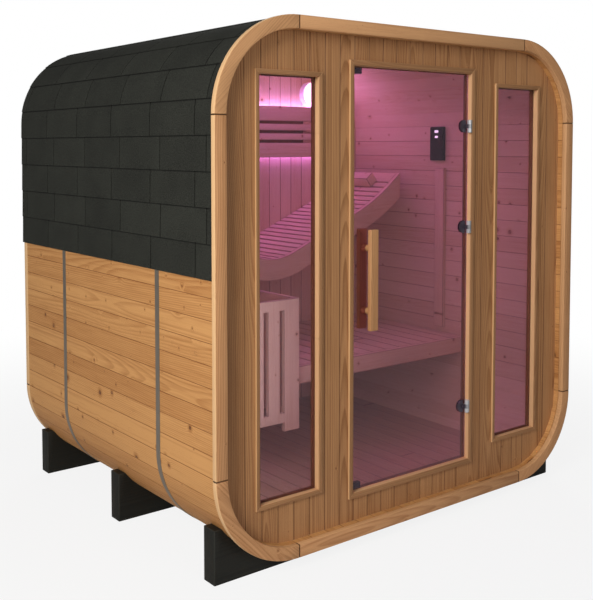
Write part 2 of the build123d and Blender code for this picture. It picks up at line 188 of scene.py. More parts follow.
def buildPineGrain():
    tree, given, result = newGroup(
        "pineGrain", "ShaderNodeTree",
        {"Place": vectorKind, "Board": numberKind, "Pale": colourKind, "Deep": colourKind, "Knot": colourKind,
         "Ring Width": numberKind, "Figure": numberKind, "Knot Size": numberKind, "Spread": numberKind},
        {"Color": colourKind, "Height": numberKind, "Rough": numberKind})
    rings, knots, relief = grainRings, grainKnots, grainRelief
    place = given["Place"]
    lot = put(tree, "TexWhiteNoise", {"W": given["Board"]}, noise_dimensions="1D").outputs["Color"]
    draw = put(tree, "SeparateColor", {0: lot}).outputs
    axes = split3(tree, place)
    shifted = vecCalc(tree, "ADD", place, vecCalc(tree, "MULTIPLY", lot, rings["lotReach"]))

    # the log's heart lies beside the board and wanders along it
    turn = times(tree, draw[0], 2 * math.pi)
    lean = times(tree, minus(tree, draw[2], 0.5), axes[2])
    away = timesPlus(tree, draw[1], rings["range"], rings["nearest"])
    away = sway(tree, noise(tree, shifted, rings["drift"], lowDetail), rings["driftReach"], away)
    away = timesPlus(tree, lean, rings["leanReach"], away)
    away = calc(tree, "MAXIMUM", away, rings["leastAway"])
    offX = timesPlus(tree, calc(tree, "COSINE", turn), away, axes[0])
    offY = timesPlus(tree, calc(tree, "SINE", turn), away, axes[1])
    radius = calc(tree, "SQRT", calc(tree, "ADD", square(tree, offX), square(tree, offY)))

    # knots push the rings aside
    spots = split3(tree, shifted)
    cell = put(tree, "TexVoronoi",
               {"Vector": join3(tree, spots[0], spots[2], 0.0), "Scale": knots["perMetre"]},
               voronoi_dimensions="2D").outputs
    chance = put(tree, "SeparateColor", {0: cell["Color"]}).outputs[0]
    share = timesPlus(tree, square(tree, chance), knots["growth"], knots["least"])
    knotSize = times(tree, times(tree, share, given["Knot Size"]), knots["perMetre"])
    knotGap = calc(tree, "DIVIDE", cell["Distance"], knotSize)
    radius = timesPlus(tree, soft(tree, knotGap, *knots["bulge"]), knots["push"], radius)
    wobble = noise(tree, shifted, rings["wobble"], lowDetail)
    radius = timesPlus(tree, wobble, rings["wobbleReach"], radius)
    phase = calc(tree, "FRACT", calc(tree, "DIVIDE", radius, given["Ring Width"]))
    late = times(tree, soft(tree, phase, *rings["lateStart"]), soft(tree, phase, *rings["lateEnd"]))

    layers = {}
    mixed = times(tree, late, given["Figure"])
    for name, (stretch, detail, layerShare) in grainLayers.items():
        layers[name] = noise(tree, shifted, stretch, detail)
        mixed = sway(tree, layers[name], layerShare, mixed)
    mixed = sway(tree, draw[1], given["Spread"], mixed)
    mixed = put(tree, "Clamp", {0: calc(tree, "ADD", mixed, relief["baseTone"])}).outputs[0]
    base = mixColour(tree, mixed, given["Pale"], given["Deep"])
    knotRim = times(tree, soft(tree, knotGap, *knots["rim"]), knots["rimShare"])
    knotCore = soft(tree, knotGap, *knots["core"])
    base = mixColour(tree, knotRim, base, given["Deep"])
    base = mixColour(tree, times(tree, knotCore, knots["coreShare"]), base, given["Knot"])
    feed(tree, result["Color"], base)
    raised = times(tree, layers["fibre"], relief["fibre"])
    raised = timesPlus(tree, late, relief["late"], raised)
    feed(tree, result["Height"], timesPlus(tree, knotCore, relief["knot"], raised))
    rough = sway(tree, layers["fibre"], relief["roughFibre"], relief["rough"])
    feed(tree, result["Rough"], timesPlus(tree, knotCore, relief["roughKnot"], rough))
    return tree


pineGrain = buildPineGrain()


# finishes

def newFinish(name, plain):  # plain holds the shader's fixed values
    material = bpy.data.materials.new(name)
    material.use_nodes = True
    tree = material.node_tree
    tree.nodes.clear()
    shader = put(tree, "BsdfPrincipled", plain)
    output = put(tree, "OutputMaterial", {"Surface": shader.outputs[0]})
    return material, tree, shader, output


def paint(tree, shader, colour, rough):
    feed(tree, shader.inputs["Base Color"], colour)
    feed(tree, shader.inputs["Roughness"], rough)


def roughen(tree, shader, strength, depth, height):
    bump = put(tree, "Bump", {"Strength": strength, "Distance": depth, "Height": height})
    feed(tree, shader.inputs["Normal"], bump.outputs[0])


woodSheen, woodRelief = 0.35, 0.001
woodTones = ("Pale", "Deep", "Knot")


def woodFinish(name, look):
    material, tree, shader, _ = newFinish(name, {"Specular IOR Level": woodSheen})
    grain = put(tree, "Group", node_tree=pineGrain)
    sockets = {"Place": attribute(tree, "lie", "Vector"), "Board": attribute(tree, "board")}
    sockets.update({label: value for label, value in look.items() if label in grain.inputs})
    edgeTone = look["edge"]
    if "inside" in look:
        inner, inside = woodLooks[look["inside"]], attribute(tree, "inside")
        if look["inside"] == "innerWood":  # the shell stands out past both end walls
            place = objectPlace(tree)
            depth = split3(tree, place)[1]
            pastFront = calc(tree, "GREATER_THAN", depth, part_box("front_wall_posts")[0].y)
            beforeBack = calc(tree, "LESS_THAN", depth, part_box("back_wall")[1].y)
            inside = times(tree, times(tree, inside, pastFront), beforeBack)
        for label in woodTones:
            sockets[label] = mixColour(tree, inside, look[label], inner[label])
        if "behind" in look:  # the wall behind the light screen takes the shade wood, a painted shade
            low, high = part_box(look["behind"])
            half, off = (high - low) / 2, vecCalc(tree, "SUBTRACT", place, (low + high) / 2)
            off = split3(tree, vecCalc(tree, "ABSOLUTE", off))
            inLength = calc(tree, "LESS_THAN", off[0], half.x)
            inHeight = calc(tree, "LESS_THAN", off[2], half.z)
            dim = times(tree, times(tree, inLength, inHeight), inside)
            for label in woodTones:
                sockets[label] = mixColour(tree, dim, sockets[label], woodLooks["shadeWood"][label])
        figureStep = inner["Figure"] - look["Figure"]
        sockets["Figure"] = timesPlus(tree, inside, figureStep, look["Figure"])
        edgeTone = mixColour(tree, inside, look["edge"], inner["edge"])
    for key, value in sockets.items():
        feed(tree, grain.inputs[key], value)
    # marked faces take the edge tone: dark joints and grooves, pale wear on the black timber, and a painted
    # highlight on the ring, frame and handle edges
    edge = times(tree, attribute(tree, "edge"), look["edgeShare"])
    paint(tree, shader, mixColour(tree, edge, grain.outputs["Color"], edgeTone), grain.outputs["Rough"])
    roughen(tree, shader, look["bump"], woodRelief, grain.outputs["Height"])
    return material


wallTones = {"Pale": tone(184, 135, 90), "Deep": tone(135, 88, 50), "Knot": tone(98, 58, 30), "Spread": 0.45,
             "edge": tone(96, 56, 29), "edgeShare": 0.7, "bump": 0.2}
fineGrain = {"Ring Width": 0.006, "Figure": 0.4, "Knot Size": 0.2, "Spread": 0.35, "bump": 0.15}
woodLooks = {
    "staveWood": {"Pale": tone(209, 155, 97), "Deep": tone(166, 109, 58), "Knot": tone(92, 48, 22),
                  "Ring Width": 0.0075, "Figure": 0.45, "Knot Size": 1.0, "Spread": 0.55,
                  "edge": tone(126, 74, 36), "edgeShare": 0.7, "bump": 0.2, "inside": "innerWood"},
    # the ring's pale edge tone is in part a painted highlight on its rims
    "ringWood": {"Pale": tone(212, 160, 112), "Deep": tone(164, 110, 68), "Knot": tone(105, 62, 34),
                 "Ring Width": 0.0075, "Figure": 0.4, "Knot Size": 0.35, "Spread": 0.5,
                 "edge": tone(240, 200, 150), "edgeShare": 0.7, "bump": 0.2, "inside": "shadeWood"},
    "frontWood": {**wallTones, "Ring Width": 0.0068, "Figure": 0.62, "Knot Size": 0.2},
    # behind the light screen the room side takes the shade wood, a painted shade
    "backWood": {**wallTones, "Ring Width": 0.0075, "Figure": 0.5, "Knot Size": 0.7,
                 "inside": "innerWood", "behind": "light_screen_boards"},
    # the pale edge tone is a painted highlight on the eased edges
    "trimWood": {"Pale": tone(196, 146, 99), "Deep": tone(156, 106, 64), "Knot": tone(105, 62, 30),
                 **fineGrain, "edge": tone(222, 176, 126), "edgeShare": 0.4},
    # the frame's pale edge tone is a painted highlight on the linings before the glass
    "frameWood": {"Pale": tone(168, 124, 84), "Deep": tone(132, 89, 54), "Knot": tone(98, 58, 30),
                  **fineGrain, "edge": tone(232, 188, 138), "edgeShare": 0.6, "inside": "shadeWood"},
    # the shade wood is painted shade on linings behind the glass and on the wall behind the light screen; on
    # the ring it darkens the joints
    "shadeWood": {"Pale": tone(122, 84, 50), "Deep": tone(90, 60, 34), "Knot": tone(60, 36, 20),
                  **fineGrain, "Ring Width": 0.007, "edge": tone(48, 30, 16), "edgeShare": 0.5},
    "innerWood": {"Pale": tone(232, 206, 172), "Deep": tone(205, 168, 128), "Knot": tone(120, 70, 44),
                  "Ring Width": 0.009, "Figure": 0.22, "Knot Size": 0.75, "Spread": 0.3,
                  "edge": tone(120, 82, 60), "edgeShare": 0.7, "bump": 0.12},
    "floorWood": {"Pale": tone(206, 176, 142), "Deep": tone(178, 140, 104), "Knot": tone(110, 64, 40),
                  "Ring Width": 0.009, "Figure": 0.3, "Knot Size": 0.6, "Spread": 0.3,
                  "edge": tone(98, 64, 46), "edgeShare": 0.7, "bump": 0.12},
    # black stained beams, whose grain just shows
    "blackTimber": {"Pale": tone(30, 31, 27), "Deep": tone(20, 21, 18), "Knot": tone(14, 14, 12),
                    "Ring Width": 0.009, "Figure": 0.7, "Knot Size": 0.6, "Spread": 0.3,
                    "edge": tone(48, 49, 44), "edgeShare": 0.6, "bump": 0.35},
}
woods = {name: woodFinish(name, look) for name, look in woodLooks.items()}

shingleLook = {"sheen": 0.25, "grit": (240.0, 240.0, 240.0), "patch": (7.0, 7.0, 7.0),
               "dark": tone(26, 27, 24), "pale": tone(58, 60, 54), "base": 0.38,
               "gritShare": 2.4, "patchShare": 0.45, "tabShare": 0.15,
               # the next line is a painted shadow under each course's butt edge
               "shadowLap": (0.945, 0.985), "shadowShare": 0.85, "shadowTone": tone(9, 9, 8),
               "rough": 0.75, "roughGrit": 0.2, "bump": 0.5, "relief": 0.001}


def shingleFinish():
    look = shingleLook
    material, tree, shader, _ = newFinish("shingleFelt", {"Specular IOR Level": look["sheen"]})
    place = objectPlace(tree)
    grit = noise(tree, place, look["grit"], highDetail)
    patch = noise(tree, place, look["patch"], highDetail)
    shade = sway(tree, grit, look["gritShare"], look["base"])
    shade = sway(tree, patch, look["patchShare"], shade)
    shade = sway(tree, attribute(tree, "board"), look["tabShare"], shade)
    shade = put(tree, "Clamp", {0: shade}).outputs[0]
    felt = mixColour(tree, shade, look["dark"], look["pale"])
    # painted shadow: each tab is darkened just under the butt edge of the course above
    under = times(tree, soft(tree, attribute(tree, "lap"), *look["shadowLap"]), look["shadowShare"])
    felt = mixColour(tree, under, felt, look["shadowTone"])
    paint(tree, shader, felt, timesPlus(tree, grit, look["roughGrit"], look["rough"]))
    roughen(tree, shader, look["bump"], look["relief"], grit)
    return material


steelLook = {"metallic": 0.85, "streak": (6.0, 1400.0, 6.0), "streakShare": 0.35, "smear": (5.0, 12.0, 5.0),
             "smearShare": 0.5, "dark": tone(138, 130, 120), "pale": tone(188, 178, 165),
             "rough": 0.34, "roughStreak": 0.2}


def steelFinish():  # brushed round the barrel
    look = steelLook
    material, tree, shader, _ = newFinish("bandSteel", {"Metallic": look["metallic"]})
    place = objectPlace(tree)
    streak = noise(tree, place, look["streak"], midDetail)
    smear = noise(tree, place, look["smear"], highDetail)
    shade = timesPlus(tree, streak, look["streakShare"], times(tree, smear, look["smearShare"]))
    steel = mixColour(tree, shade, look["dark"], look["pale"])
    paint(tree, shader, steel, timesPlus(tree, streak, look["roughStreak"], look["rough"]))
    return material


glassLook = {"Base Color": (0.60, 0.42, 0.56, 1.0), "Transmission Weight": 1.0, "IOR": 1.45,
             "Specular IOR Level": 0.15}
glassFilm = {"stretch": (3.0, 3.0, 3.0), "shows": (0.55, 0.9), "rough": 0.004}
glassShadow = (0.61, 0.49, 0.53, 1.0)


def glassFinish():  # tinted safety glass, lets the daylight through to the room
    material, tree, shader, output = newFinish("tintedGlass", glassLook)
    film = noise(tree, objectPlace(tree), glassFilm["stretch"], highDetail)
    film = times(tree, soft(tree, film, *glassFilm["shows"]), glassFilm["rough"])
    feed(tree, shader.inputs["Roughness"], film)
    clear = put(tree, "BsdfTransparent", {"Color": glassShadow})
    shadow = put(tree, "LightPath").outputs["Is Shadow Ray"]
    feed(tree, output.inputs["Surface"], mixShaders(tree, shadow, shader, clear))
    return material


plasticLook = {"dark": tone(8, 8, 10), "pale": tone(20, 20, 23), "pebble": (700.0, 700.0, 700.0),
               "sheen": 0.25, "rough": 0.4, "roughPebble": 0.15, "bump": 0.1, "relief": 0.0005}


def plasticFinish():
    look = plasticLook
    material, tree, shader, _ = newFinish("blackPlastic", {"Specular IOR Level": look["sheen"]})
    pebble = noise(tree, objectPlace(tree), look["pebble"], midDetail)
    plastic = mixColour(tree, pebble, look["dark"], look["pale"])
    paint(tree, shader, plastic, timesPlus(tree, pebble, look["roughPebble"], look["rough"]))
    roughen(tree, shader, look["bump"], look["relief"], pebble)
    return material


# the last two values are a painted reflection, dark, on the clamp's glass side
chromeLook = {"metallic": 0.55, "swirl": (60.0, 60.0, 240.0), "rough": 0.1, "roughSwirl": 0.14,
              "reflectionTone": tone(88, 80, 92), "reflectionShares": (0.6, 0.8)}


def chromeFinish(name, dim, bright, darkSide=None):
    look = chromeLook
    material, tree, shader, _ = newFinish(name, {"Metallic": look["metallic"]})
    place = objectPlace(tree)
    swirl = noise(tree, place, look["swirl"], highDetail)
    chrome = mixColour(tree, swirl, dim, bright)
    # painted reflection: the glass side of the clamp is darkened, as if it mirrored the dark room
    if darkSide:
        chrome = mixColour(tree, soft(tree, split3(tree, place)[0], *darkSide), look["reflectionTone"], chrome)
    paint(tree, shader, chrome, timesPlus(tree, swirl, look["roughSwirl"], look["rough"]))
    return material


glowLook = {"rough": 0.4, "haze": (40.0, 40.0, 40.0), "hazeShare": 0.2, "rimShares": (0.96, 0.9)}


def glowFinish(name, body, glow, strength, disc=None):
    look = glowLook
    material, tree, shader, _ = newFinish(name, {"Emission Strength": strength, "Roughness": look["rough"]})
    place = objectPlace(tree)
    haze = noise(tree, place, look["haze"], midDetail)
    feed(tree, shader.inputs["Base Color"], mixColour(tree, haze, body, fullWhite))
    shine = mixColour(tree, times(tree, haze, look["hazeShare"]), glow, body)
    if disc:  # only the middle of the disc is lit, the rim stays plain
        low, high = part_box(disc)
        off = vecCalc(tree, "MULTIPLY", vecCalc(tree, "SUBTRACT", place, (low + high) / 2), (1.0, 0.0, 1.0))
        rim = [share * ((high.x - low.x) / 2) for share in look["rimShares"]]
        shine = mixColour(tree, soft(tree, lengthOf(tree, off), *rim), fullBlack, shine)
    feed(tree, shader.inputs["Emission Color"], shine)
    return material


shingleFelt = shingleFinish()
bandSteel = steelFinish()
tintedGlass = glassFinish()
blackPlastic = plasticFinish()
hingeChrome = chromeFinish("hingeChrome", tone(206, 208, 212), tone(234, 236, 238))
# the clamps carry a painted dark reflection on their glass side
clampLow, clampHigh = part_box("hinge_clamps")
clampReflectionSides = [clampLow.x + (clampHigh.x - clampLow.x) * share for share in chromeLook["reflectionShares"]]
clampChrome = chromeFinish("clampChrome", tone(168, 168, 174), tone(222, 222, 226), clampReflectionSides)
stripGlow = glowFinish("lightStrip", tone(250, 190, 240), (0.9, 0.42, 1.0, 1.0), strength=0.25)
lampGlow = glowFinish("lampOpal", tone(250, 240, 246), (1.0, 0.86, 0.95, 1.0), strength=5.0, disc="wall_lamp")
iconGlow = glowFinish("iconGlow", tone(235, 235, 245), (0.9, 0.92, 1.0, 1.0), strength=1.6)
print("finishes made")


# meshes from the frame's solids, with eased edges

mergeReach = 0.00002
flatAngle, sharpAngle, smoothAngle = math.radians(0.6), math.radians(35), math.radians(28)
sideways = 0.5  # a direction with less than this along Y faces sideways


def looseBoards(bm):  # the vertices of each loose solid
    left = set(bm.verts)
    found = []
    for start in bm.verts:
        if start not in left:
            continue
        left.discard(start)
        reach, cluster = [start], [start]
        while reach:
            for edge in reach.pop().link_edges:
                for vert in edge.verts:
                    if vert in left:
                        left.discard(vert)
                        reach.append(vert)
                        cluster.append(vert)
        found.append(cluster)
    return found


def cadCopy(name):
    bm = bmesh.new()
    bm.from_mesh(cadNodes[name].data)
    bmesh.ops.remove_doubles(bm, verts=bm.verts, dist=mergeReach)
    bmesh.ops.dissolve_limit(bm, angle_limit=flatAngle, verts=bm.verts, edges=bm.edges)
    return bm


def faceMarks(bm):  # both layers are made before either is used, because a new one makes older handles stale
    layers = bm.faces.layers.float
    for label in ("edge", "inside"):
        if layers.get(label) is None:
            layers.new(label)
    return layers["edge"], layers["inside"]


def bevelEdges(bm, edges, width, segments):
    marks, _ = faceMarks(bm)
    made = bmesh.ops.bevel(bm, geom=edges, offset=width, offset_type="OFFSET", segments=segments,
                           profile=0.5, affect="EDGES", clamp_overlap=True)
    for face in made["faces"]:
        face[marks] = 1.0


def easeEdges(bm, width, segments=2):
    for verts in looseBoards(bm):
        edges = {edge for vert in verts for edge in vert.link_edges}
        sharp = [edge for edge in edges if edge.calc_face_angle(0) > sharpAngle]
        if sharp:
            bevelEdges(bm, sharp, width, segments)
    return bm


def gather(parts, name):  # several small meshes as one
    joined = bmesh.new()
    faceMarks(joined)
    for part in parts:
        mesh = bpy.data.meshes.new("part")
        part.to_mesh(mesh)
        part.free()
        joined.from_mesh(mesh)
        bpy.data.meshes.remove(mesh)
    mesh = bpy.data.meshes.new(name)
    joined.to_mesh(mesh)
    joined.free()
    return mesh


axisNames = {"x": Vector((1, 0, 0)), "y": Vector((0, 1, 0)), "z": Vector((0, 0, 1))}
barrelMiddle = (cadBox[0] + cadBox[1]) / 2


def markBoards(mesh, grain, seed):  # each board's own number, and its place along its own grain
    bm = bmesh.new()
    bm.from_mesh(mesh)
    boardMark = bm.verts.layers.float.new("board")
    lieMark = bm.verts.layers.float_vector.new("lie")
    draw = random.Random(seed)
    for verts in looseBoards(bm):
        low = Vector([min(vert.co[i] for vert in verts) for i in range(3)])
        high = Vector([max(vert.co[i] for vert in verts) for i in range(3)])
        centre, size = (low + high) / 2, high - low
        if grain == "corner":
            along = (centre - barrelMiddle).cross(axisNames["y"]).normalized()
        else:
            along = axisNames[grain if grain in axisNames else "xyz"[max(range(3), key=lambda i: size[i])]]
        across = along.cross(axisNames["y"] if abs(along.y) < sideways else axisNames["x"]).normalized()
        deep = along.cross(across)
        boardNumber = draw.random()
        for vert in verts:
            place = vert.co - centre
            vert[lieMark] = Vector((place.dot(across), place.dot(deep), place.dot(along)))
            vert[boardMark] = boardNumber
    bm.to_mesh(mesh)
    bm.free()


pieceSeed = random.Random(41)
seedRange = 10000


def settle(name, mesh, finish, body, stands, grain):
    if grain:
        markBoards(mesh, grain, pieceSeed.randrange(seedRange))
    mesh.materials.clear()
    mesh.materials.append(finish)
    mesh.polygons.foreach_set("use_smooth", [True] * len(mesh.polygons))
    mesh.set_sharp_from_angle(angle=smoothAngle)
    piece = bpy.data.objects.new(name, mesh)
    scene.collection.objects.link(piece)
    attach(piece, body)
    if stands:
        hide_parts(*stands)


# helpers for what repeats

def growMesh(name, tree, sizes):  # runs a geometry tree once and keeps the plain mesh
    host = bpy.data.objects.new(name + "Host", bpy.data.meshes.new(name + "Host"))
    scene.collection.objects.link(host)
    grower = host.modifiers.new("grow", "NODES")
    grower.node_group = tree
    for item in tree.interface.items_tree:
        if item.in_out == "INPUT" and item.name in sizes:
            grower[item.identifier] = sizes[item.name]
    mesh = bpy.data.meshes.new_from_object(host.evaluated_get(bpy.context.evaluated_depsgraph_get()))
    mesh.name = name
    host.modifiers.clear()
    bpy.data.objects.remove(host)
    return mesh


def shapeNode(tree, kind, sockets=None, **settings):  # the first output of a geometry node
    return put(tree, kind, sockets, "GeometryNode", **settings).outputs[0]


def pointPlace(tree):
    return split3(tree, shapeNode(tree, "InputPosition"))


def pointLine(tree, count, start=(0.0, 0.0, 0.0), offset=(0.0, 0.0, 0.0)):
    return shapeNode(tree, "MeshLine", {"Count": count, "Start Location": start, "Offset": offset})


def repeatOn(tree, points, shape, turn=0.0):  # turned about Y
    sockets = {"Points": points, "Instance": shape, "Rotation": join3(tree, 0.0, turn, 0.0)}
    return shapeNode(tree, "InstanceOnPoints", sockets)


def sheetOf(tree, size, steps):  # a thin block, divided along X
    sockets = {"Size": size, "Vertices X": steps, "Vertices Y": 2, "Vertices Z": 2}
    return shapeNode(tree, "MeshCube", sockets)


def joinShapes(tree, *shapes):
    made = put(tree, "JoinGeometry", family="GeometryNode")
    for shape in shapes:
        tree.links.new(shape, made.inputs[0])
    return made.outputs[0]


# staves: one flat side and one rounded corner, turned four times round the barrel

staveShell = {"sideCount": 16, "cornerCount": 7, "groove": 0.0016, "arcSteps": 3}
wallLow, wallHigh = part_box("right_wall")
shellHalf = wallHigh.x
shellThick = wallHigh.x - wallLow.x
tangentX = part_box("roof_deck")[1].x
centreZ = (wallLow.z + wallHigh.z) / 2
shellSpan = (wallLow.y, wallHigh.y)
cornerRadius = shellHalf - tangentX
quarterTurn = math.pi / 2
plainFace, edgeFace, innerFace, innerEdge = range(4)


def staveSection(outline, name):  # points in X and Z with the kind of the face after them, drawn out along Y
    bm = bmesh.new()
    ends = [[bm.verts.new((x, y, z)) for x, z, _ in outline] for y in shellSpan]
    marks, inside = faceMarks(bm)
    for i, (_, _, kind) in enumerate(outline):
        after = (i + 1) % len(outline)
        face = bm.faces.new((ends[0][i], ends[0][after], ends[1][after], ends[1][i]))
        face[marks] = kind in (edgeFace, innerEdge)
        face[inside] = kind in (innerFace, innerEdge)
    bm.faces.new(list(reversed(ends[0])))
    bm.faces.new(ends[1])
    bmesh.ops.recalc_face_normals(bm, faces=bm.faces)
    mesh = bpy.data.meshes.new(name)
    bm.to_mesh(mesh)
    bm.free()
    stave = bpy.data.objects.new(name, mesh)
    scene.collection.objects.link(stave)
    return stave


def flatStave():
    half = tangentX / staveShell["sideCount"]
    cut, deep = staveShell["groove"], shellThick
    return staveSection([
        (-half, -cut, edgeFace), (-half + cut, 0, plainFace), (half - cut, 0, edgeFace),
        (half, -cut, plainFace), (half, cut - deep, innerEdge), (half - cut, -deep, innerFace),
        (cut - half, -deep, innerEdge), (-half, cut - deep, plainFace)], "flatStave")


def cornerStave():
    step = quarterTurn / staveShell["cornerCount"]
    cut, outer, inner = staveShell["groove"], cornerRadius, cornerRadius - shellThick
    ease = cut / outer

    def spot(radius, angle, kind):
        return (radius * math.sin(angle), radius * math.cos(angle), kind)
    steps = staveShell["arcSteps"]
    bends = [-step / 2 + ease + (step - 2 * ease) * i / steps for i in range(steps + 1)]
    outline = [spot(outer - cut, -step / 2, edgeFace)]
    outline += [spot(outer, angle, edgeFace if angle == bends[-1] else plainFace) for angle in bends]
    outline += [spot(outer - cut, step / 2, plainFace), spot(inner, step / 2, innerFace),
                spot(inner, -step / 2, plainFace)]
    return staveSection(outline, "cornerStave")


def buildStaveTree():
    tree, given, result = newGroup(
        "staveShell", "GeometryNodeTree",
        {"Geometry": shapeKind, "Flat Stave": objectKind, "Corner Stave": objectKind, "Side Count": wholeKind,
         "Pitch": numberKind, "Corner Count": wholeKind, "Half Side": numberKind, "Tangent": numberKind,
         "Centre Height": numberKind, "Finish": finishKind},
        {"Geometry": shapeKind})
    index = shapeNode(tree, "InputIndex")
    back = times(tree, minus(tree, given["Side Count"], 1.0), times(tree, given["Pitch"], -0.5))
    side = pointLine(tree, given["Side Count"], join3(tree, back, 0.0, given["Half Side"]),
                     join3(tree, given["Pitch"], 0.0, 0.0))
    flat = put(tree, "ObjectInfo", {"Object": given["Flat Stave"]}, "GeometryNode").outputs["Geometry"]
    sideStaves = repeatOn(tree, side, flat)
    turn = times(tree, calc(tree, "ADD", index, 0.5), quarterTurn)
    turn = calc(tree, "DIVIDE", turn, given["Corner Count"])
    bent = put(tree, "ObjectInfo", {"Object": given["Corner Stave"]}, "GeometryNode").outputs["Geometry"]
    fanStaves = repeatOn(tree, pointLine(tree, given["Corner Count"]), bent, turn)
    corner = join3(tree, given["Tangent"], 0.0, given["Tangent"])
    moved = shapeNode(tree, "Transform", {"Geometry": fanStaves, "Translation": corner})
    quarter = joinShapes(tree, sideStaves, moved)
    four = pointLine(tree, 4, join3(tree, 0.0, 0.0, given["Centre Height"]))
    around = repeatOn(tree, four, quarter, times(tree, index, quarterTurn))
    real = shapeNode(tree, "RealizeInstances", {"Geometry": around})
    painted = shapeNode(tree, "SetMaterial", {"Geometry": real, "Material": given["Finish"]})
    feed(tree, result[0], painted)
    return tree


def makeStaves():
    flat, corner = flatStave(), cornerStave()
    mesh = growMesh("staves", buildStaveTree(), {
        "Flat Stave": flat, "Corner Stave": corner, "Side Count": staveShell["sideCount"],
        "Pitch": 2 * tangentX / staveShell["sideCount"], "Corner Count": staveShell["cornerCount"],
        "Half Side": shellHalf, "Tangent": tangentX, "Centre Height": centreZ, "Finish": woods["staveWood"]})
    for helper in (flat, corner):
        bpy.data.objects.remove(helper)
    corners = [f"{level}_{side}_corner" for level in ("lower", "upper") for side in ("left", "right")]
    settle("staves", mesh, woods["staveWood"], "cabin",
           ["left_wall", "right_wall", "roof_deck", "underside", *corners], "y")


makeStaves()
print("staves laid")


# shingles: flat courses of tabs, wrapped over the barrel by one rule, and the ridge

shingleSizes = {"Exposure": 0.132, "Tab Length": 0.195, "Tab Pitch": 0.335, "Slot": 0.006, "Thickness": 0.003,
                "Lift": 0.0034, "Tab Start": -1.093, "Stagger": 0.079, "Underlay": 0.0005}
shingleFit = {"tabs": 7, "tabSteps": 9, "seatShare": 0.62, "halfTab": 0.49, "sheetSteps": 90,
              "sheetDepth": 2.4, "seatGap": 0.0003, "endGap": 0.001, "lastCourse": 0.02}
ridgeFit = {"width": 0.3, "pitch": 0.22, "joint": 0.002, "edge": 0.0008, "lift": 0.0062}


def wrapOnBarrel(tree, shape, given):  # X is the way up from the eave, Z the height over the seat
    place = pointPlace(tree)
    up = between(tree, place[0], 0.0, given["Path End"])
    rise = minus(tree, given["Tangent Height"], given["Eave"])
    bend = minus(tree, given["Seat"], given["Tangent"])
    quarter = times(tree, bend, quarterTurn)
    past = minus(tree, up, rise)
    angle = calc(tree, "DIVIDE", between(tree, past, 0.0, quarter), bend)
    reach = calc(tree, "ADD", bend, place[2])
    flatRun = calc(tree, "MAXIMUM", minus(tree, past, quarter), 0.0)
    out = timesPlus(tree, calc(tree, "COSINE", angle), reach, given["Tangent"])
    x = minus(tree, flatRun, out)
    foot = calc(tree, "ADD", given["Eave"], calc(tree, "MINIMUM", up, rise))
    z = timesPlus(tree, calc(tree, "SINE", angle), reach, foot)
    limits = split3(tree, given["Span"])
    y = between(tree, place[1], limits[0], limits[1])
    return shapeNode(tree, "SetPosition", {"Geometry": shape, "Position": join3(tree, x, y, z)})


